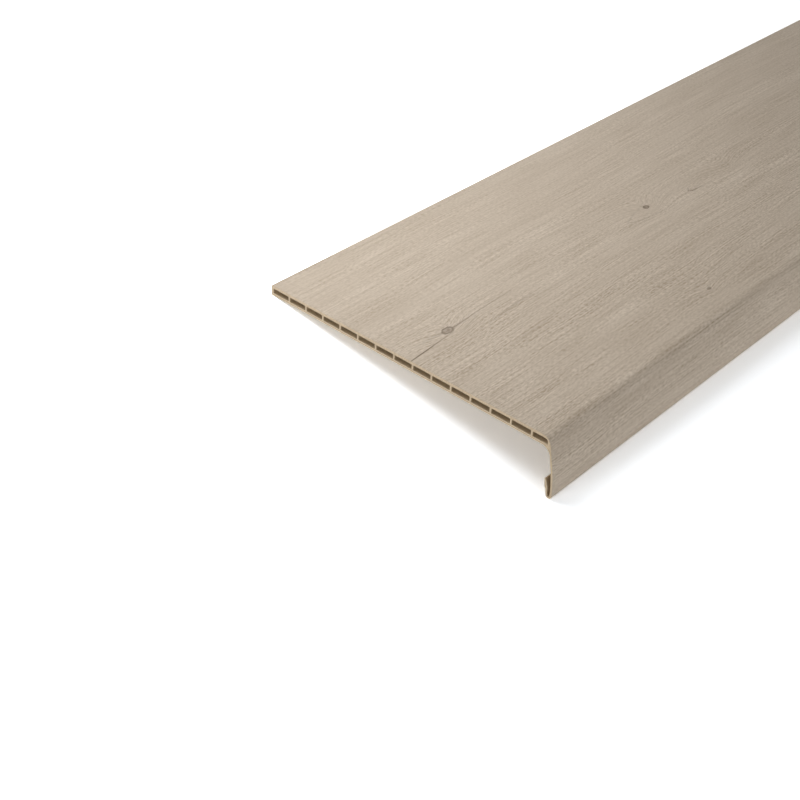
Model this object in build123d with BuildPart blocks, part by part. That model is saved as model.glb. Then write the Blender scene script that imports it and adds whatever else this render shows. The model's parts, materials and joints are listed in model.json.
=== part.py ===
from build123d import *
import os
from math import asin, atan2, cos, radians, sin, tan

# A hollow extruded stair tread that covers an old step: a chambered panel, a drop nose and a clip channel.
# Millimetres and degrees. +X runs along the tread, the nose faces -Y and +Z is up.
# It is stored as it lies on a level floor, on the foot of its nose and its back edge.

# Overall sizes
length = 1000.0
depth = 300.0
nose_height = 54.6

# Panel
panel_thickness = 9.3
skin = 2.45
back_wall = 2.6
rib = 1.8
chamber_width = 17.8
smallest_chamber = 4.0
chamber_corner = 0.6
back_corner = 0.8

# Nose, from the walking surface down to the foot
wall = 1.75
nose_radius = 8.5
nose_lean = 11.5
front_bend_radius = 130.0
upright = 1.0
root_radius = 8.5
nose_chamber_corner = 2.0

# Clip channel behind the foot of the nose, with a ridge that narrows its mouth
slot_width = 2.0
arm_lean = 8.0
arm_length = 5.0
throat_width = 2.2
ridge_rise = 1.1
guide_lean = 18.0
guide_rise = 8.4
lip_thickness = 1.5
lip_back_lean = 7.0
heel_rise = 1.0
ridge_round = 0.4
lip_round = 0.6

# Centreline sizes of the bent wall
clip_radius = (slot_width + wall) / 2
clip_outer_radius = clip_radius + wall / 2
foot_y = clip_outer_radius - nose_height
lean = radians(nose_lean)
front_top_y = -nose_radius * (1 - sin(lean)) - wall / 2 * sin(lean)
front_length = (front_top_y - foot_y - upright - front_bend_radius * sin(lean)) / cos(lean)

# Centreline of the front and its clip, in the section's own axes:
# x runs back from the foremost line and y runs up from the walking surface
with BuildLine() as front_line:
    foot = Line((wall / 2, foot_y), (wall / 2, foot_y + upright))
    front_bend = JernArc(foot @ 1, foot % 1, front_bend_radius, -nose_lean)
    front = PolarLine(front_bend @ 1, front_length, direction=front_bend % 1)
    clip = JernArc(foot @ 0, -(foot % 0), clip_radius, 180 - arm_lean)
    arm = PolarLine(clip @ 1, arm_length, direction=clip % 1)

# Nose: its outer face turns from the front to the walking surface, and its root turns to the underside
front_up = front % 1
front_in = front_up.rotate(Axis.Z, -90)
front_face = front @ 1 - front_in * (wall / 2)
root_top = front @ 1 + front_in * (wall / 2)
root_corner = root_top - front_up * ((root_top.Y + panel_thickness) / cos(lean))
root_foot = root_corner - front_up * root_radius
panel_front = front_face.X + nose_radius * cos(lean)
root_end = panel_front + root_radius

# Chambers: equal ones from the back wall forwards, and one that takes up the rest behind the nose
chamber_height = panel_thickness - 2 * skin
pitch = chamber_width + rib
chambers_back = depth - back_wall
chamber_count = int((chambers_back - panel_front - smallest_chamber) / pitch)
chamber_backs = [(chambers_back - i * pitch, -skin) for i in range(chamber_count)]
nose_chamber_back = chambers_back - chamber_count * pitch
nose_chamber_face = front_face + front_in * skin
nose_chamber_top = nose_chamber_face - front_up * ((nose_chamber_face.Y + skin) / cos(lean))
nose_chamber_toe = nose_chamber_top - front_up * (chamber_height / cos(lean))

with BuildSketch() as nose_chamber:
    with BuildLine():
        Polyline(nose_chamber_toe, nose_chamber_top, (nose_chamber_back, -skin))
        Polyline((nose_chamber_back, -skin), (nose_chamber_back, skin - panel_thickness), nose_chamber_toe)
    make_face()
    fillet(nose_chamber.vertices().sort_by_distance(nose_chamber_top)[0], nose_chamber_corner)
    fillet(nose_chamber.vertices().group_by(Axis.X)[-1], chamber_corner)

# Lip of the clip: a guide face runs down to the ridge, and the back steps in to the arm
across_arm = (arm % 1).rotate(Axis.Z, -90) * (wall / 2)
ridge = Vector(wall + throat_width, (arm @ 1).Y + ridge_rise)
lip_front = ridge + Vector(guide_rise * tan(radians(guide_lean)), guide_rise)
lip_back = lip_front + Vector(lip_thickness, 0)
heel_drop = lip_back.Y - ridge.Y - heel_rise
heel = lip_back - Vector(heel_drop * tan(radians(lip_back_lean)), heel_drop)
lip_outline = [arm @ 1 - across_arm, ridge, lip_front, lip_back, heel, arm @ 1 + across_arm]

with BuildSketch() as section:
    with Locations((panel_front, 0)):
        Rectangle(depth - panel_front, panel_thickness, align=(Align.MIN, Align.MAX))
    with Locations(chamber_backs):
        RectangleRounded(
            chamber_width, chamber_height, chamber_corner, align=(Align.MAX, Align.MAX), mode=Mode.SUBTRACT
        )
    with BuildLine():
        shoulder = JernArc(front_face, front_up, nose_radius, nose_lean - 90)
        Polyline(shoulder @ 1, (root_end, 0), (root_end, -panel_thickness))
        FilletPolyline((root_end, -panel_thickness), root_corner, root_foot, radius=root_radius)
        Polyline(root_foot, root_foot - front_in * wall, front_face)
    make_face()
    add(nose_chamber.sketch, mode=Mode.SUBTRACT)
    trace(front_line.edges(), wall)
    with BuildLine():
        Polyline(lip_outline, close=True)
    make_face()
    fillet(section.vertices().sort_by_distance(ridge)[0], ridge_round)
    fillet(section.vertices().sort_by_distance((lip_front + lip_back) / 2)[:2], lip_round)
    fillet(section.vertices().group_by(Axis.X)[-1], back_corner)

# The floor touches the clip's bend and the back's lower corner, so it is the tangent below both arcs
foot_centre = Vector(wall / 2 + clip_radius, foot_y)
back_centre = Vector(depth - back_corner, back_corner - panel_thickness)
span = back_centre - foot_centre
tilt = atan2(span.Y, span.X) - asin((back_corner - clip_outer_radius) / span.length)
back_direction = (0, cos(tilt), -sin(tilt))
tilted_box = (Plane((0, 0, 0), back_direction, (1, 0, 0)) * section.sketch).bounding_box()
section_origin = (0, -tilted_box.center().Y, -tilted_box.min.Z)

with BuildPart() as stair_tread:
    with BuildSketch(Plane(section_origin, back_direction, (1, 0, 0))):
        add(section.sketch)
    extrude(amount=length / 2, both=True)

stair_tread.part.label = "stair_tread"
os.makedirs("parts", exist_ok=True)
export_step(stair_tread.part, "parts/stair_tread.step")
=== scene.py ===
"""A hollow overlay stair tread with a bleached-oak decor, laid on a pale floor for a studio view."""

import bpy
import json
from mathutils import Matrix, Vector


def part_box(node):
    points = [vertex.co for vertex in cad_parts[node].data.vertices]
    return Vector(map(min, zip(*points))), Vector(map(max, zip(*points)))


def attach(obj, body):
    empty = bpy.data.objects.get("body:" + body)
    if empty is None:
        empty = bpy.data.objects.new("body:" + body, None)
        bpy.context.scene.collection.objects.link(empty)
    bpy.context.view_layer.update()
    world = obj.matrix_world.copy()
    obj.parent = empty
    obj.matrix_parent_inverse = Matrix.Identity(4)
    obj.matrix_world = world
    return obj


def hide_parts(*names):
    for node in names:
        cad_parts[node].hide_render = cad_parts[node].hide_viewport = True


bl_info = {
    "name": "Stair tread",
    "version": (1, 0, 0),
    "blender": (4, 5, 0),
    "location": "3D View > Sidebar > Stair tread",
    "description": "Builds an extruded overlay stair tread, its wood decor and its studio stage",
    "category": "Add Mesh",
}

import json
from math import atan2, cos, pi, radians, sin, tan

import bmesh
import bpy
from bpy.props import FloatProperty, FloatVectorProperty, PointerProperty
from bpy.types import Operator, Panel, PropertyGroup
from mathutils import Matrix, Quaternion, Vector

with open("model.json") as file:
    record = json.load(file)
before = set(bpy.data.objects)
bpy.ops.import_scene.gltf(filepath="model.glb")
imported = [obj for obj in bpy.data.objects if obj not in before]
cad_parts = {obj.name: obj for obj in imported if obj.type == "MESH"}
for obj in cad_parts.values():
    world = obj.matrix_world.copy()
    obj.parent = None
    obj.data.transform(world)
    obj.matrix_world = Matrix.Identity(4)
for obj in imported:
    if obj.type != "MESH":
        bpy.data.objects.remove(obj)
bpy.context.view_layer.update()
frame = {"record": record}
tread_low, tread_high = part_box("stair_tread")
back_edge = next(mount for mount in frame["record"]["mounts"] if mount["name"] == "back_edge")

ALONG = Vector((1.0, 0.0, 0.0))
BACK = Vector((0.0, 1.0, 0.0))
UP = Vector((0.0, 0.0, 1.0))
QUARTER = pi / 2


def length_size(name, description, default):
    """A length in metres that the sidebar shows in scene units."""
    return FloatProperty(
        name=name, description=description, default=default, min=0.0, precision=5, unit="LENGTH"
    )


def angle_size(name, description, degrees):
    """An angle that is kept in radians and shown in degrees."""
    return FloatProperty(name=name, description=description, default=radians(degrees), subtype="ANGLE")


def colour_of(name, description, default):
    """A linear colour with a swatch."""
    return FloatVectorProperty(
        name=name, description=description, default=default, size=4, min=0.0, max=1.0, subtype="COLOR"
    )


def level_of(name, description, default):
    """A brightness with no unit."""
    return FloatProperty(name=name, description=description, default=default, min=0.0)


def power_of(name, description, default):
    """A light's power in watts."""
    return FloatProperty(name=name, description=description, default=default, min=0.0, unit="POWER")


class TreadSizes(PropertyGroup):
    """Sizes of the tread's section, as the part was extruded."""

    length: length_size("Length", "Length of the tread along its nose", tread_high.x - tread_low.x)
    depth: length_size("Depth", "From the foremost line of the nose to the back edge", 0.3)
    nose_height: length_size("Nose height", "From the walking surface down to the foot", 0.0546)
    panel_thickness: length_size("Panel thickness", "Walking surface to underside", 0.0093)
    skin: length_size("Skin", "Thickness of the panel's upper and lower skins", 0.00245)
    wall: length_size("Wall", "Thickness of the bent front and its clip", 0.00175)
    back_wall: length_size("Back wall", "Thickness of the wall at the back edge", 0.0026)
    rib: length_size("Rib", "Thickness of the ribs between the chambers", 0.0018)
    chamber_width: length_size("Chamber width", "Inner width of each chamber", 0.0178)
    chamber_corner: length_size("Chamber corner", "Inner corner radius of the chambers", 0.0006)
    smallest_chamber: length_size("Smallest chamber", "Least width of the chamber behind the nose", 0.004)
    nose_chamber_corner: length_size("Nose chamber corner", "Inner radius behind the nose", 0.002)
    back_corner: length_size("Back corner", "Rounding of the back edge", 0.0008)
    nose_radius: length_size("Nose radius", "Outer radius where the surface turns down", 0.0085)
    nose_lean: angle_size("Nose lean", "How far the front leans back from the foot up", 11.5)
    front_bend_radius: length_size("Front bend", "Centreline radius of the bend low on the front", 0.13)
    upright: length_size("Upright", "Upright stretch above the foot", 0.001)
    root_radius: length_size("Root radius", "Inner radius between the front and the underside", 0.0085)
    slot_width: length_size("Slot width", "Width of the clip channel at its bottom", 0.002)
    arm_lean: angle_size("Arm lean", "How far the clip's arm leans back", 8.0)
    arm_length: length_size("Arm length", "Straight stretch of the clip's arm", 0.005)
    throat_width: length_size("Throat width", "Width of the channel at its ridge", 0.0022)
    ridge_rise: length_size("Ridge rise", "Height of the ridge above the arm", 0.0011)
    guide_lean: angle_size("Guide lean", "How far the lip flares back above the ridge", 18.0)
    guide_rise: length_size("Guide rise", "Height of the flared lip above the ridge", 0.0084)
    lip_thickness: length_size("Lip thickness", "Width of the lip's top", 0.0015)
    lip_back_lean: angle_size("Lip back lean", "Lean of the lip's rear face", 7.0)
    heel_rise: length_size("Heel rise", "Height of the heel above the ridge", 0.001)
    ridge_round: length_size("Ridge rounding", "Rounding of the ridge", 0.0004)
    lip_round: length_size("Lip rounding", "Rounding of the lip's top edges", 0.0006)
    cut_chamfer: length_size("Cut edge", "Broken edge round the sawn ends", 0.0002)
    arc_step: angle_size("Arc step", "Turn between two edges of an arc of middling size", 5.0)


class TreadFinish(PropertyGroup):
    """Colours of the printed oak decor and of the plastic under it."""

    oak_pale: colour_of("Pale oak", "Lightest tone of the decor's grain", (0.7, 0.605, 0.495, 1.0))
    oak_dark: colour_of("Dark oak", "Darkest tone of the decor's grain", (0.385, 0.305, 0.222, 1.0))
    oak_knot: colour_of("Oak knot", "Knots and the splits beside them", (0.17, 0.125, 0.085, 1.0))
    core: colour_of("Core", "Through-coloured plastic of the extrusion", (0.57, 0.45, 0.3, 1.0))
    core_streak: colour_of("Core streak", "Darker flow lines in the plastic", (0.46, 0.35, 0.225, 1.0))


class TreadStage(PropertyGroup):
    """Floor, light and camera of the studio."""

    floor_size: length_size("Floor size", "Side of the square floor", 12.0)
    floor_colour: colour_of("Floor colour", "Pale matt floor", (0.86, 0.86, 0.86, 1.0))
    floor_gain: FloatVectorProperty(
        name="Floor gain", description="Gain of the floor's red, green and blue in the picture",
        default=(2.58, 2.68, 2.79), size=3,
    )
    floor_lift: level_of("Floor lift", "White added to the floor in the picture", 0.05)
    shade_reach: length_size("Shade reach", "How far from the middle the floor shows its own shading", 0.65)
    white_reach: length_size("White reach", "How far from the middle the floor is plain white", 1.15)
    fill: level_of("Fill", "Level of the even light from all round", 0.145)
    key_power: power_of("Key power", "Soft light above the near end", 4.3)
    back_power: power_of("Back power", "Soft light on the far end", 2.0)
    side_power: power_of("Side power", "Soft light on the near cut", 4.2)
    front_power: power_of("Front power", "Low strip light on the nose", 9.1)
    lens: FloatProperty(
        name="Lens", description="Focal length in millimetres", default=62.55, min=1.0, unit="CAMERA"
    )


# Turn between two edges, in arc steps: fine on the long bend of the front and coarse on small radii
LONG_BEND = 0.25
NOSE_CHAMBER_BEND = 2
SMALL_BEND = 3
CHAMBER_BEND = 6

# Least edges of an arc, and edges of a rounded corner
LEAST_STEPS = 2
ROUNDING_SEGMENTS = 3

# Share of a normal that lies along the tread: above the first on a sawn end, below the second on a side
END_FACING = 0.5
SIDE_FACING = 0.1

# Turn between two faces from which the edge between them looks sharp
SHARP_TURN = radians(35.0)

# The decor's own map, and the girth that marks what the decor doesn't cover
DECOR_MAP = "decor"
NO_DECOR = -1.0


class SectionPen:
    """Draws the section as a chain of edges, in runs and arcs, and keeps how far it has gone round."""

    def __init__(self, bm, girth, start, heading):
        self.bm = bm
        self.girth = girth
        self.first = bmesh.ops.create_vert(bm, co=start)["vert"][0]
        self.tip = self.first
        self.heading = heading.copy()

    def run(self, distance):
        """Goes straight ahead."""
        gone = self.tip[self.girth] + distance
        self.tip = bmesh.ops.extrude_vert_indiv(self.bm, verts=[self.tip])["verts"][0]
        self.tip[self.girth] = gone
        bmesh.ops.translate(self.bm, verts=[self.tip], vec=self.heading * distance)

    def run_to(self, place):
        """Goes straight to a place of the section and keeps that heading."""
        way = place - self.tip.co
        self.heading = way.normalized()
        self.run(way.length)

    def turn(self, radius, angle, step):
        """Goes round an arc. A positive angle bends to the left of the heading, as seen from +X."""
        steps = max(LEAST_STEPS, round(abs(angle) / step))
        aside = ALONG.cross(self.heading) * (radius if angle > 0 else -radius)
        gone = self.tip[self.girth]
        arc = bmesh.ops.spin(
            self.bm, geom=[self.tip], cent=self.tip.co + aside, axis=ALONG, angle=angle, steps=steps
        )
        self.bm.verts.ensure_lookup_table()
        for count, vert in enumerate(self.bm.verts[-steps:], 1):
            vert[self.girth] = gone + radius * abs(angle) * count / steps
        self.tip = arc["geom_last"][0]
        self.heading.rotate(Quaternion(ALONG, angle))

    def close(self):
        """Joins the tip to the first corner, which it has come back to."""
        bmesh.ops.weld_verts(self.bm, targetmap={self.tip: self.first})

    def close_straight(self):
        """Goes straight back to the first corner."""
        self.bm.edges.new((self.tip, self.first))


def draw_outline(bm, girth, s):
    """Draws the section's outer line, from the lowest line of the foot up over the nose and all round."""
    slot_radius = s.slot_width / 2
    clip_radius = slot_radius + s.wall
    foot_height = clip_radius - s.nose_height
    bend_radius = s.front_bend_radius + s.wall / 2
    bend_rise = bend_radius * sin(s.nose_lean)
    nose_drop = s.nose_radius * (1 - sin(s.nose_lean))
    front_length = (-foot_height - s.upright - bend_rise - nose_drop) / cos(s.nose_lean)
    nose_turn = QUARTER - s.nose_lean

    pen = SectionPen(bm, girth, Vector((0.0, clip_radius, -s.nose_height)), -BACK)
    pen.turn(clip_radius, -QUARTER, s.arc_step)
    pen.run(s.upright)
    pen.turn(bend_radius, -s.nose_lean, s.arc_step * LONG_BEND)
    pen.run(front_length)
    pen.turn(s.nose_radius, -nose_turn, s.arc_step)
    flat_start = pen.tip.co.y
    flat_girth = pen.tip[girth]
    pen.run(s.depth - s.back_corner - flat_start)
    decor_end = pen.tip[girth]

    pen.turn(s.back_corner, -QUARTER, s.arc_step * SMALL_BEND)
    pen.run(s.panel_thickness - 2 * s.back_corner)
    pen.turn(s.back_corner, -QUARTER, s.arc_step * SMALL_BEND)
    inner_bend = s.front_bend_radius - s.wall / 2
    inner_foot = Vector((0.0, s.wall, foot_height + s.upright))
    inner_top = inner_foot + BACK * inner_bend * (1 - cos(s.nose_lean)) + UP * inner_bend * sin(s.nose_lean)
    root_rise = -s.panel_thickness - inner_top.z
    root_back = inner_top.y + root_rise * tan(s.nose_lean)
    root_reach = s.root_radius * tan(nose_turn / 2)
    pen.run(pen.tip.co.y - root_back - root_reach)
    pen.turn(s.root_radius, nose_turn, s.arc_step)
    pen.run(root_rise / cos(s.nose_lean) - root_reach)
    pen.turn(inner_bend, s.nose_lean, s.arc_step * LONG_BEND)
    pen.run(s.upright)
    pen.turn(slot_radius, pi - s.arm_lean, s.arc_step * SMALL_BEND)
    pen.run(s.arm_length)

    arm_end = pen.tip.co.copy()
    arm_up = pen.heading.copy()
    arm_across = BACK * cos(s.arm_lean) - UP * sin(s.arm_lean)
    arm_mid = arm_end + arm_across * s.wall / 2
    ridge = Vector((0.0, s.wall + s.throat_width, arm_mid.z + s.ridge_rise))
    lip_front = ridge + BACK * s.guide_rise * tan(s.guide_lean) + UP * s.guide_rise
    lip_back = lip_front + BACK * s.lip_thickness
    heel_drop = s.guide_rise - s.heel_rise
    heel = lip_back - BACK * heel_drop * tan(s.lip_back_lean) - UP * heel_drop
    pen.run_to(ridge)
    ridge_corner = pen.tip
    pen.run_to(lip_front)
    lip_corners = [pen.tip]
    pen.run_to(lip_back)
    lip_corners.append(pen.tip)
    pen.run_to(heel)
    pen.run_to(arm_end + arm_across * s.wall)
    pen.heading = -arm_up
    pen.run(s.arm_length)
    pen.turn(clip_radius, s.arm_lean - QUARTER, s.arc_step)
    pen.close()
    round_corners(bm, [ridge_corner], s.ridge_round)
    round_corners(bm, lip_corners, s.lip_round)
    return flat_start, flat_girth, decor_end


def round_corners(bm, corners, radius):
    """Rounds corners of the drawn line."""
    bmesh.ops.bevel(
        bm, geom=corners, offset=radius, affect="VERTICES",
        segments=ROUNDING_SEGMENTS, profile=0.5, material=-1,
    )


def draw_chambers(bm, girth, s, flat_start):
    """Draws the equal chambers from the back wall forwards, and the one behind the nose."""
    outer_count = len(bm.verts)
    height = s.panel_thickness - 2 * s.skin
    pitch = s.chamber_width + s.rib
    step = s.arc_step * CHAMBER_BEND
    back = s.depth - s.back_wall
    while back - pitch > flat_start + s.smallest_chamber:
        pen = SectionPen(bm, girth, Vector((0.0, back - s.chamber_corner, -s.skin)), BACK)
        for side in (height, s.chamber_width, height, s.chamber_width):
            pen.turn(s.chamber_corner, -QUARTER, step)
            pen.run(side - 2 * s.chamber_corner)
        pen.close()
        back -= pitch

    lean = s.nose_lean
    front_up = BACK * sin(lean) + UP * cos(lean)
    front_in = BACK * cos(lean) - UP * sin(lean)
    front_face = BACK * (flat_start - s.nose_radius * cos(lean)) - UP * s.nose_radius * (1 - sin(lean))
    inner_face = front_face + front_in * s.skin
    inner_top = inner_face - front_up * (inner_face.z + s.skin) / cos(lean)
    toe = inner_top - front_up * height / cos(lean)
    reach = s.nose_chamber_corner * tan((QUARTER - lean) / 2)
    pen = SectionPen(bm, girth, toe, front_up)
    pen.run(height / cos(lean) - reach)
    pen.turn(s.nose_chamber_corner, lean - QUARTER, s.arc_step * NOSE_CHAMBER_BEND)
    pen.run(back - s.chamber_corner - pen.tip.co.y)
    pen.turn(s.chamber_corner, -QUARTER, step)
    pen.run(height - 2 * s.chamber_corner)
    pen.turn(s.chamber_corner, -QUARTER, step)
    pen.close_straight()

    bm.verts.ensure_lookup_table()
    for vert in bm.verts[outer_count:]:
        vert[girth] = NO_DECOR


def extrude_section(bm, s):
    """Fills the drawn section, extrudes it to length and breaks the sawn edges."""
    bmesh.ops.triangle_fill(bm, use_beauty=True, edges=bm.edges[:])
    bmesh.ops.translate(bm, verts=bm.verts[:], vec=ALONG * (s.cut_chamfer - s.length / 2))
    far_end = bmesh.ops.extrude_face_region(bm, geom=bm.faces[:])["geom"]
    far_verts = [item for item in far_end if isinstance(item, bmesh.types.BMVert)]
    bmesh.ops.translate(bm, verts=far_verts, vec=ALONG * (s.length - 2 * s.cut_chamfer))
    bmesh.ops.recalc_face_normals(bm, faces=bm.faces[:])
    for outwards in (-ALONG, ALONG):
        cut = [face for face in bm.faces if face.normal.dot(outwards) > END_FACING]
        bmesh.ops.inset_region(
            bm, faces=cut, thickness=s.cut_chamfer, use_even_offset=True, use_boundary=True
        )
        cut_verts = list({vert for face in cut for vert in face.verts})
        bmesh.ops.translate(bm, verts=cut_verts, vec=outwards * s.cut_chamfer)


def lay_decor(bm, girth, s, flat_start, flat_girth, decor_end):
    """Gives the seen face its decor and unrolls it: metres from the near cut, and depth by girth."""
    decor_map = bm.loops.layers.uv.new(DECOR_MAP)
    for face in bm.faces:
        face.smooth = True
        on_side = abs(face.normal.x) < SIDE_FACING
        on_face = all(0.0 <= vert[girth] <= decor_end + s.cut_chamfer for vert in face.verts)
        face.material_index = 0 if on_side and on_face else 1
        for loop in face.loops:
            along = loop.vert.co.x + s.length / 2
            loop[decor_map].uv = (along, loop.vert[girth] - flat_girth + flat_start)


def tread_place(s):
    """Where the section lies in the frame, as its packed back edge tells: on its foot and its back edge."""
    backwards = Vector(back_edge["axis"])
    tilt = atan2(-backwards.z, backwards.y)
    edge = BACK * s.depth - UP * s.panel_thickness / 2
    return Matrix.Translation(back_edge["pos_m"]) @ Matrix.Rotation(-tilt, 4, "X") @ Matrix.Translation(-edge)


# Sockets of a Mix node that mixes colours
MIX_FACTOR = 0
MIX_FIRST = 6
MIX_SECOND = 7
MIX_RESULT = 2

# Kinds of socket that the node groups have
VECTOR = "NodeSocketVector"
VALUE = "NodeSocketFloat"


class NodeSheet:
    """Adds nodes to a tree and returns their sockets."""

    def __init__(self, tree):
        self.tree = tree

    def node(self, kind, inputs=None, **settings):
        """Adds a node and returns it. An input is a value or the socket that feeds it."""
        made = self.tree.nodes.new(kind)
        for name, value in settings.items():
            setattr(made, name, value)
        for name, value in (inputs or {}).items():
            if isinstance(value, bpy.types.NodeSocket):
                self.tree.links.new(value, made.inputs[name])
            else:
                made.inputs[name].default_value = value
        return made

    def group(self, tree, inputs):
        """Places a node group with its own values and returns its outputs."""
        return self.node("ShaderNodeGroup", inputs, node_tree=tree).outputs

    def math(self, operation, *values, clamp=False):
        """Adds a Math node."""
        made = self.node("ShaderNodeMath", dict(enumerate(values)), operation=operation, use_clamp=clamp)
        return made.outputs[0]

    def vector(self, operation, *values):
        """Adds a Vector Math node."""
        made = self.node("ShaderNodeVectorMath", dict(enumerate(values)), operation=operation)
        return made.outputs["Value" if operation in {"LENGTH", "DOT_PRODUCT"} else "Vector"]

    def combine(self, x=0.0, y=0.0, z=0.0):
        """Adds a Combine XYZ node."""
        return self.node("ShaderNodeCombineXYZ", {"X": x, "Y": y, "Z": z}).outputs[0]

    def ramp(self, value, low, high, to_low=0.0, to_high=1.0):
        """Adds a smooth Map Range node."""
        inputs = {"Value": value, "From Min": low, "From Max": high, "To Min": to_low, "To Max": to_high}
        return self.node("ShaderNodeMapRange", inputs, interpolation_type="SMOOTHSTEP").outputs["Result"]

    def noise(self, place, detail, roughness):
        """Adds a Noise texture with its size already in the place."""
        inputs = {"Vector": place, "Scale": 1.0, "Detail": detail, "Roughness": roughness}
        return self.node("ShaderNodeTexNoise", inputs).outputs[0]

    def mix(self, factor, first, second):
        """Adds a colour Mix node."""
        inputs = {MIX_FACTOR: factor, MIX_FIRST: first, MIX_SECOND: second}
        return self.node("ShaderNodeMix", inputs, data_type="RGBA").outputs[MIX_RESULT]

    def link(self, source, target):
        """Links two sockets."""
        self.tree.links.new(source, target)


def new_group(name, inputs, outputs):
    """Makes an empty shader node group with the named sockets, and its input and output nodes."""
    group = bpy.data.node_groups.new(name, "ShaderNodeTree")
    for socket_name, kind in inputs.items():
        group.interface.new_socket(name=socket_name, in_out="INPUT", socket_type=kind)
    for socket_name, kind in outputs.items():
        group.interface.new_socket(name=socket_name, in_out="OUTPUT", socket_type=kind)
    sheet = NodeSheet(group)
    return sheet, sheet.node("NodeGroupInput").outputs, sheet.node("NodeGroupOutput").inputs


# Streaks: how far they run along the tread, how far apart they lie, and the noise levels they fade between
STREAK_ROUGHNESS = 0.6
TONE = {"Run": 0.4, "Spacing": 0.026, "Detail": 2.0, "Low": 0.3, "High": 0.7}
CLUSTER = {"Run": 0.2, "Spacing": 0.018, "Detail": 1.0, "Low": 0.35, "High": 0.65}
LINES = {"Run": 0.07, "Spacing": 0.0012, "Detail": 1.0, "Low": 0.32, "High": 0.72}
PORES = {"Run": 0.004, "Spacing": 0.0011, "Detail": 1.0, "Low": 0.32, "High": 0.72}
FLOW = {"Run": 0.3, "Spacing": 0.003, "Detail": 3.0, "Low": 0.35, "High": 0.65}
SAWN = {"Run": 0.0008, "Spacing": 0.0006, "Detail": 2.0, "Low": 0.3, "High": 0.7}


def streak_group():
    """Noise drawn out along the extrusion, for grain, bands of tone and flow lines."""
    sheet, given, made = new_group(
        "Drawn streaks",
        {"Vector": VECTOR, "Run": VALUE, "Spacing": VALUE, "Detail": VALUE, "Low": VALUE, "High": VALUE},
        {"Streaks": VALUE},
    )
    size = sheet.combine(given["Run"], given["Spacing"], given["Spacing"])
    noise = sheet.noise(sheet.vector("DIVIDE", given["Vector"], size), given["Detail"], STREAK_ROUGHNESS)
    sheet.link(sheet.ramp(noise, given["Low"], given["High"]), made["Streaks"])
    return sheet.tree


# Knots: the noise that frays and mottles them, and where ring and heart lie and fade, in half sizes
RIM_PER_METRE = (300.0, 500.0, 1.0)
RIM_DETAIL = 2.0
RIM_ROUGHNESS = 0.5
FRAY = 0.6
RING_PLACE = 0.85
RING_FADE = (0.08, 0.4)
HEART_FADE = (0.6, 1.2)
MOTTLE_FADE = (0.35, 0.65)
MOTTLE_LEAST = 0.6


def knot_group():
    """One knot: the growth lines swell round it, and it has a dark ring and a mottled heart."""
    sheet, given, made = new_group(
        "Oak knot",
        {"Vector": VECTOR, "Place": VECTOR, "Half length": VALUE, "Half width": VALUE, "Reach": VALUE,
         "Swell": VALUE, "Ring": VALUE, "Heart": VALUE},
        {"Vector": VECTOR, "Dark": VALUE},
    )
    away = sheet.vector("SUBTRACT", given["Vector"], given["Place"])
    half = sheet.combine(given["Half length"], given["Half width"], 1.0)
    distance = sheet.vector("LENGTH", sheet.vector("DIVIDE", away, half))
    near = sheet.math("DIVIDE", distance, given["Reach"])
    pull = sheet.math("EXPONENT", sheet.math("MULTIPLY", sheet.math("MULTIPLY", near, near), -1.0))
    shift = sheet.combine(y=sheet.math("MULTIPLY", pull, given["Swell"]))

    rim_place = sheet.vector("MULTIPLY", given["Vector"], RIM_PER_METRE)
    rim_noise = sheet.noise(rim_place, RIM_DETAIL, RIM_ROUGHNESS)
    frayed = sheet.math("ADD", distance, sheet.math("MULTIPLY_ADD", rim_noise, FRAY, -FRAY / 2))
    off_ring = sheet.math("ABSOLUTE", sheet.math("SUBTRACT", frayed, RING_PLACE))
    ring = sheet.math("MULTIPLY", sheet.ramp(off_ring, *RING_FADE, 1.0, 0.0), given["Ring"])
    mottle = sheet.ramp(rim_noise, *MOTTLE_FADE, MOTTLE_LEAST, 1.0)
    inside = sheet.math("MULTIPLY", sheet.ramp(frayed, *HEART_FADE, 1.0, 0.0), mottle)
    heart = sheet.math("MULTIPLY", inside, given["Heart"])
    sheet.link(sheet.vector("ADD", given["Vector"], shift), made["Vector"])
    sheet.link(sheet.math("MAXIMUM", ring, heart), made["Dark"])
    return sheet.tree


# Where a split fades out, in half widths from its line
SPLIT_FADE = (0.2, 1.0)


def split_group():
    """A stretch of a split or of a soft shade line, with its own strength at each end."""
    sheet, given, made = new_group(
        "Oak split",
        {"Vector": VECTOR, "Start": VECTOR, "End": VECTOR, "Half width": VALUE, "Start share": VALUE,
         "End share": VALUE},
        {"Line": VALUE},
    )
    way = sheet.vector("SUBTRACT", given["End"], given["Start"])
    away = sheet.vector("SUBTRACT", given["Vector"], given["Start"])
    along = sheet.math(
        "DIVIDE", sheet.vector("DOT_PRODUCT", away, way), sheet.vector("DOT_PRODUCT", way, way), clamp=True
    )
    step = sheet.node("ShaderNodeVectorMath", {0: way, "Scale": along}, operation="SCALE").outputs["Vector"]
    distance = sheet.vector("LENGTH", sheet.vector("SUBTRACT", away, step))
    line = sheet.ramp(sheet.math("DIVIDE", distance, given["Half width"]), *SPLIT_FADE, 1.0, 0.0)
    share_step = sheet.math("SUBTRACT", given["End share"], given["Start share"])
    share = sheet.math("MULTIPLY_ADD", along, share_step, given["Start share"])
    sheet.link(sheet.math("MULTIPLY", line, share), made["Line"])
    return sheet.tree


def new_material(name):
    """Makes a material with a Principled shader and returns it with its sheet and the shader."""
    material = bpy.data.materials.new(name)
    material.use_nodes = True
    sheet = NodeSheet(material.node_tree)
    return material, sheet, material.node_tree.nodes["Principled BSDF"]


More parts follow.
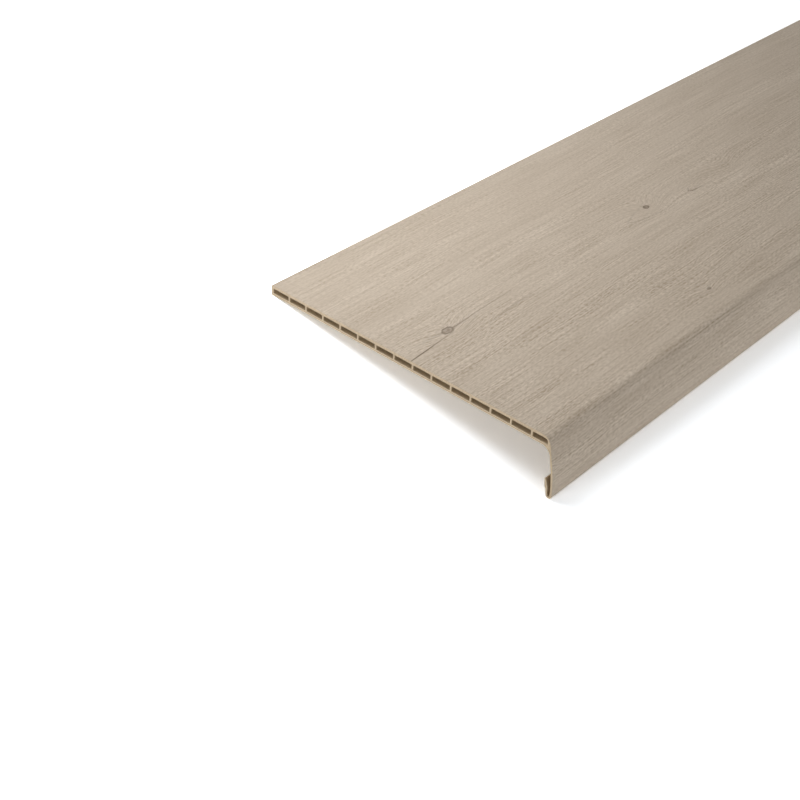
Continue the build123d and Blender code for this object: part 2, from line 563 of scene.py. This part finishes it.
# Knots of the decor, placed by metres from the near cut and unrolled depth from the foremost line
KNOTS = (
    {"Place": (0.0536, 0.1518, 0.0), "Half length": 0.0064, "Half width": 0.0038,
     "Reach": 3.6, "Swell": 0.009, "Ring": 0.72, "Heart": 0.55},
    {"Place": (0.3447, 0.1582, 0.0), "Half length": 0.0035, "Half width": 0.0027,
     "Reach": 6.0, "Swell": 0.012, "Ring": 0.85, "Heart": 0.9},
    {"Place": (0.2627, 0.038, 0.0), "Half length": 0.0023, "Half width": 0.0016,
     "Reach": 5.0, "Swell": 0.004, "Ring": 0.6, "Heart": 0.7},
    {"Place": (0.4755, 0.1543, 0.0), "Half length": 0.0062, "Half width": 0.0042,
     "Reach": 4.0, "Swell": 0.008, "Ring": 0.13, "Heart": 0.0},
)

# Splits and soft shade lines: each place of a path is metres from the near cut, unrolled depth and strength
SPLITS = (
    {"half_width": 0.0009,
     "path": ((0.0, 0.1433, 0.8), (0.0197, 0.1447, 1.0), (0.039, 0.1462, 0.5), (0.052, 0.147, 0.2))},
    {"half_width": 0.0008,
     "path": ((0.059, 0.1514, 0.8), (0.074, 0.152, 0.6), (0.09, 0.1534, 0.45), (0.138, 0.1546, 0.2))},
    {"half_width": 0.0024,
     "path": ((0.015, 0.1545, 0.08), (0.048, 0.152, 0.3))},
    {"half_width": 0.002,
     "path": ((0.059, 0.1514, 0.35), (0.095, 0.1535, 0.0))},
    {"half_width": 0.0012,
     "path": ((0.4079, 0.1529, 0.15), (0.4015, 0.1485, 0.5), (0.4045, 0.1458, 0.7), (0.422, 0.1448, 0.15))},
    {"half_width": 0.0016,
     "path": ((0.055, 0.141, 0.06), (0.074, 0.146, 0.2), (0.09, 0.15, 0.04))},
    {"half_width": 0.0018,
     "path": ((0.086, 0.135, 0.03), (0.106, 0.137, 0.18), (0.13, 0.1395, 0.18), (0.166, 0.134, 0.03))},
    {"half_width": 0.0014,
     "path": ((0.345, 0.1625, 0.06), (0.322, 0.1575, 0.16), (0.306, 0.1525, 0.2), (0.318, 0.1475, 0.16))},
    {"half_width": 0.0014,
     "path": ((0.318, 0.1475, 0.16), (0.345, 0.144, 0.12), (0.38, 0.141, 0.03))},
)

# Sway of the growth lines
SWAY_PER_METRE = (4.0, 14.0, 1.0)
SWAY_DETAIL = 1.0
SWAY_ROUGHNESS = 0.5
SWAY_WIDTH = 0.016

# Grain: growth lines and pores together, stronger in clusters and calmer towards the back
LINE_SHARE = 0.5
PORE_SHARE = 0.55
PATTERN_MIDDLE = 0.45
CLUSTER_GAIN = 0.5
CLUSTER_LEAST = 0.6
CALM_DEPTHS = (0.08, 0.24)
CALM_SHARE = 0.65

# Shade from pale to dark oak: bands of tone are paler, and the foot of the front is painted paler, as painted
# light bounced up from the floor
MIDDLE_SHADE = 0.56
GRAIN_CONTRAST = 0.95
TONE_CONTRAST = -0.14
# Depths where the paler band of painted light low on the front begins, and how much paler it makes the oak
PAINTED_BOUNCE_DEPTHS = (-0.031, -0.024)
PAINTED_BOUNCE_PALING = -0.14

# Roughness of the decor's face, and how much more its lines and pores have
DECOR_ROUGHNESS = 0.5
PORE_ROUGHNESS = 0.2


def oak_decor(finish, streaks):
    """Printed and embossed bleached oak: bands of tone, growth lines, pores, knots and splits, and a paler
    band of painted light low on the front.
    """
    material, sheet, shader = new_material("bleached_oak_decor")
    spot = sheet.node("ShaderNodeUVMap", uv_map=DECOR_MAP).outputs[0]
    depth = sheet.node("ShaderNodeSeparateXYZ", {0: spot}).outputs["Y"]
    sway = sheet.noise(sheet.vector("MULTIPLY", spot, SWAY_PER_METRE), SWAY_DETAIL, SWAY_ROUGHNESS)
    drift = sheet.combine(y=sheet.math("MULTIPLY", sway, SWAY_WIDTH))

    knot = knot_group()
    swollen = spot
    dark = 0.0
    for values in KNOTS:
        made = sheet.group(knot, {**values, "Vector": spot})
        swollen = sheet.vector("ADD", swollen, sheet.vector("SUBTRACT", made["Vector"], spot))
        dark = sheet.math("MAXIMUM", dark, made["Dark"])
    grain_place = sheet.vector("ADD", swollen, drift)

    split = split_group()
    for line in SPLITS:
        path = line["path"]
        for (u, v, share), (next_u, next_v, next_share) in zip(path, path[1:]):
            stretch = {
                "Vector": spot, "Start": (u, v, 0.0), "End": (next_u, next_v, 0.0),
                "Half width": line["half_width"], "Start share": share, "End share": next_share,
            }
            dark = sheet.math("MAXIMUM", dark, sheet.group(split, stretch)["Line"])

    tone, cluster, lines, pores = (
        sheet.group(streaks, {**values, "Vector": grain_place})["Streaks"]
        for values in (TONE, CLUSTER, LINES, PORES)
    )
    calm = sheet.ramp(depth, *CALM_DEPTHS, 1.0, CALM_SHARE)
    strength = sheet.math("MULTIPLY", calm, sheet.math("MULTIPLY_ADD", cluster, CLUSTER_GAIN, CLUSTER_LEAST))
    pattern = sheet.math(
        "ADD", sheet.math("MULTIPLY", lines, LINE_SHARE), sheet.math("MULTIPLY", pores, PORE_SHARE)
    )
    grain = sheet.math("MULTIPLY", sheet.math("SUBTRACT", pattern, PATTERN_MIDDLE), strength)
    # Painted light: the front is made paler below these depths, standing in for light bounced up from the
    # floor
    painted_bounce_band = sheet.ramp(depth, *PAINTED_BOUNCE_DEPTHS, PAINTED_BOUNCE_PALING, 0.0)
    ground = sheet.math("MULTIPLY_ADD", tone, TONE_CONTRAST, sheet.math("ADD", painted_bounce_band, MIDDLE_SHADE))
    shade = sheet.math("MULTIPLY_ADD", grain, GRAIN_CONTRAST, ground, clamp=True)
    oak = sheet.mix(shade, finish.oak_pale, finish.oak_dark)

    height = sheet.math("SUBTRACT", 1.0, sheet.math("MAXIMUM", pattern, dark))
    bump = sheet.node("ShaderNodeBump", {"Height": height, "Strength": 0.35, "Distance": 0.0003})
    roughness = sheet.math("MULTIPLY_ADD", pattern, PORE_ROUGHNESS, DECOR_ROUGHNESS)
    sheet.link(sheet.mix(dark, oak, finish.oak_knot), shader.inputs["Base Color"])
    sheet.link(roughness, shader.inputs["Roughness"])
    sheet.link(bump.outputs[0], shader.inputs["Normal"])
    shader.inputs["Specular IOR Level"].default_value = 0.2
    return material


# Core: how much its flow lines and saw marks tint, raise and roughen it
FLOW_TINT = 0.6
SAWN_TINT = 0.15
FLOW_RELIEF = 0.5
SAWN_RELIEF = 0.3
CORE_ROUGHNESS = 0.5
SAWN_ROUGHNESS = 0.15


def beige_core(finish, streaks):
    """Through-coloured plastic of the sawn ends, chambers, clip and underside, with flow lines along it."""
    material, sheet, shader = new_material("beige_core")
    spot = sheet.node("ShaderNodeTexCoord").outputs["Object"]
    flow = sheet.group(streaks, {**FLOW, "Vector": spot})["Streaks"]
    sawn = sheet.group(streaks, {**SAWN, "Vector": spot})["Streaks"]
    flowed = sheet.mix(sheet.math("MULTIPLY", flow, FLOW_TINT), finish.core, finish.core_streak)
    colour = sheet.mix(sheet.math("MULTIPLY", sawn, SAWN_TINT), flowed, finish.core_streak)
    height = sheet.math(
        "ADD", sheet.math("MULTIPLY", flow, FLOW_RELIEF), sheet.math("MULTIPLY", sawn, SAWN_RELIEF)
    )
    bump = sheet.node("ShaderNodeBump", {"Height": height, "Strength": 0.3, "Distance": 0.0002})
    roughness = sheet.math("MULTIPLY_ADD", sawn, SAWN_ROUGHNESS, CORE_ROUGHNESS)
    sheet.link(colour, shader.inputs["Base Color"])
    sheet.link(roughness, shader.inputs["Roughness"])
    sheet.link(bump.outputs[0], shader.inputs["Normal"])
    return material


class MESH_OT_stair_tread(Operator):
    """Model the tread from its sizes, lay it on the floor and give it its decor"""

    bl_idname = "mesh.stair_tread"
    bl_label = "Stair tread"

    def execute(self, context):
        s = context.scene.tread_sizes
        finish = context.scene.tread_finish
        bm = bmesh.new()
        girth = bm.verts.layers.float.new("girth")
        flat_start, flat_girth, decor_end = draw_outline(bm, girth, s)
        draw_chambers(bm, girth, s, flat_start)
        extrude_section(bm, s)
        lay_decor(bm, girth, s, flat_start, flat_girth, decor_end)
        bmesh.ops.transform(bm, matrix=tread_place(s), verts=bm.verts[:])
        mesh = bpy.data.meshes.new("tread")
        bm.to_mesh(mesh)
        bm.free()
        mesh.set_sharp_from_angle(angle=SHARP_TURN)
        streaks = streak_group()
        mesh.materials.append(oak_decor(finish, streaks))
        mesh.materials.append(beige_core(finish, streaks))
        tread = bpy.data.objects.new("tread", mesh)
        context.scene.collection.objects.link(tread)
        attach(tread, "root")
        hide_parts("stair_tread")
        return {"FINISHED"}


def picture_ray(sheet):
    """1 for rays of the picture and its mirrors, 0 for rays that carry light."""
    ray = sheet.node("ShaderNodeLightPath").outputs
    mirrored = sheet.math("MAXIMUM", ray["Is Glossy Ray"], ray["Is Transmission Ray"])
    return sheet.math("MAXIMUM", ray["Is Camera Ray"], mirrored)


def pale_floor(stage):
    """Matt pale floor that the picture shows white, wholly so far off, with the tread's shadow on it."""
    material = bpy.data.materials.new("pale_floor")
    material.use_nodes = True
    material.node_tree.nodes.clear()
    sheet = NodeSheet(material.node_tree)
    seen = picture_ray(sheet)
    bright = [tone * gain for tone, gain in zip(stage.floor_colour, stage.floor_gain)]
    colour = sheet.mix(seen, stage.floor_colour, (*bright, 1.0))
    matt = sheet.node("ShaderNodeBsdfDiffuse", {"Color": colour}).outputs[0]
    away = sheet.vector("LENGTH", sheet.node("ShaderNodeTexCoord").outputs["Object"])
    white = sheet.ramp(away, stage.shade_reach, stage.white_reach, stage.floor_lift, 1.0)
    strength = sheet.math("MULTIPLY", seen, white)
    lift = sheet.node("ShaderNodeEmission", {"Strength": strength}).outputs[0]
    both = sheet.node("ShaderNodeAddShader", {0: matt, 1: lift}).outputs[0]
    sheet.node("ShaderNodeOutputMaterial", {"Surface": both})
    return material


def white_world(stage):
    """Even white light from all round, with a white background."""
    world = bpy.data.worlds.new("white_world")
    world.use_nodes = True
    world.node_tree.nodes.clear()
    sheet = NodeSheet(world.node_tree)
    strength = sheet.ramp(picture_ray(sheet), 0.0, 1.0, stage.fill, 1.0)
    light = sheet.node("ShaderNodeBackground", {"Color": (1.0, 1.0, 1.0, 1.0), "Strength": strength})
    sheet.node("ShaderNodeOutputWorld", {"Surface": light.outputs[0]})
    return world


def lay_floor(scene, stage):
    """Adds the square floor."""
    bm = bmesh.new()
    bmesh.ops.create_grid(bm, x_segments=1, y_segments=1, size=stage.floor_size / 2)
    mesh = bpy.data.meshes.new("floor")
    bm.to_mesh(mesh)
    bm.free()
    mesh.materials.append(pale_floor(stage))
    floor = bpy.data.objects.new("floor", mesh)
    scene.collection.objects.link(floor)


# Soft lights in metres: where each stands, the place it faces, its width and its height
LIGHTS = {
    "key": {"place": (-0.5, 0.45, 0.6), "target": (-0.4, 0.1, 0.03), "width": 0.6, "height": 0.6},
    "back": {"place": (0.35, 0.8, 0.45), "target": (0.2, 0.1, 0.02), "width": 0.6, "height": 0.6},
    "side": {"place": (-1.5, -0.05, 0.28), "target": (-0.5, 0.0, 0.02), "width": 0.4, "height": 0.4},
    "front": {"place": (0.0, -1.6, 0.26), "target": (0.0, -0.15, 0.03), "width": 1.6, "height": 0.3},
}


def soft_light(scene, name, power, place, target, width, height):
    """Adds a rectangular soft light that faces a place."""
    lamp = bpy.data.lights.new(name, "AREA")
    lamp.shape = "RECTANGLE"
    lamp.size = width
    lamp.size_y = height
    lamp.energy = power
    light = bpy.data.objects.new(name, lamp)
    light.location = place
    light.rotation_euler = (Vector(target) - Vector(place)).to_track_quat("-Z", "Y").to_euler()
    scene.collection.objects.link(light)


class SCENE_OT_stair_tread_stage(Operator):
    """Make the floor, the light, the white background and the camera"""

    bl_idname = "scene.stair_tread_stage"
    bl_label = "Studio stage"

    camera_place: FloatVectorProperty(
        name="Camera place", description="From the near top front corner: along, back and up from the tread",
        default=(-0.67602, -0.42942, 0.61363), subtype="XYZ",
    )
    camera_aim: FloatVectorProperty(
        name="Camera aim", description="Place on the walking surface's plane in the middle of the picture",
        default=(-0.04317, 0.11528, 0.0), subtype="XYZ",
    )
    camera_roll: angle_size("Camera roll", "Turn of the camera about its own axis", 2.74)

    def execute(self, context):
        scene = context.scene
        stage = scene.tread_stage
        sizes = scene.tread_sizes
        scene.view_settings.view_transform = "Standard"
        scene.world = white_world(stage)
        lay_floor(scene, stage)

        soft_light(scene, "key", stage.key_power, **LIGHTS["key"])
        soft_light(scene, "back", stage.back_power, **LIGHTS["back"])
        soft_light(scene, "side", stage.side_power, **LIGHTS["side"])
        soft_light(scene, "front", stage.front_power, **LIGHTS["front"])

        lens = bpy.data.cameras.new("camera")
        lens.sensor_width = 36.0
        lens.lens = stage.lens
        lens.clip_end = 50.0
        camera = bpy.data.objects.new("camera", lens)
        scene.collection.objects.link(camera)
        scene.camera = camera
        place = Vector(self.camera_place)
        look = Vector(self.camera_aim) - place
        facing = look.to_track_quat("-Z", "Y").to_matrix().to_4x4()
        roll = Matrix.Rotation(self.camera_roll, 4, "Z")
        near_end = Matrix.Translation(-ALONG * sizes.length / 2)
        camera.matrix_world = tread_place(sizes) @ near_end @ Matrix.Translation(place) @ facing @ roll
        return {"FINISHED"}


class VIEW3D_PT_stair_tread(Panel):
    """Sizes, colours and operators of the stair tread"""

    bl_label = "Stair tread"
    bl_space_type = "VIEW_3D"
    bl_region_type = "UI"
    bl_category = "Stair tread"

    def draw(self, context):
        scene = context.scene
        for group in (scene.tread_sizes, scene.tread_finish, scene.tread_stage):
            box = self.layout.box()
            for name in group.bl_rna.properties.keys():
                if name not in {"rna_type", "name"}:
                    box.prop(group, name)
        self.layout.operator(MESH_OT_stair_tread.bl_idname)
        self.layout.operator(SCENE_OT_stair_tread_stage.bl_idname)


CLASSES = (
    TreadSizes,
    TreadFinish,
    TreadStage,
    MESH_OT_stair_tread,
    SCENE_OT_stair_tread_stage,
    VIEW3D_PT_stair_tread,
)


def register():
    for kind in CLASSES:
        bpy.utils.register_class(kind)
    bpy.types.Scene.tread_sizes = PointerProperty(type=TreadSizes)
    bpy.types.Scene.tread_finish = PointerProperty(type=TreadFinish)
    bpy.types.Scene.tread_stage = PointerProperty(type=TreadStage)


def unregister():
    del bpy.types.Scene.tread_stage
    del bpy.types.Scene.tread_finish
    del bpy.types.Scene.tread_sizes
    for kind in reversed(CLASSES):
        bpy.utils.unregister_class(kind)


def main():
    register()
    bpy.ops.mesh.stair_tread()
    bpy.ops.scene.stair_tread_stage()


if __name__ == "__main__":
    main()
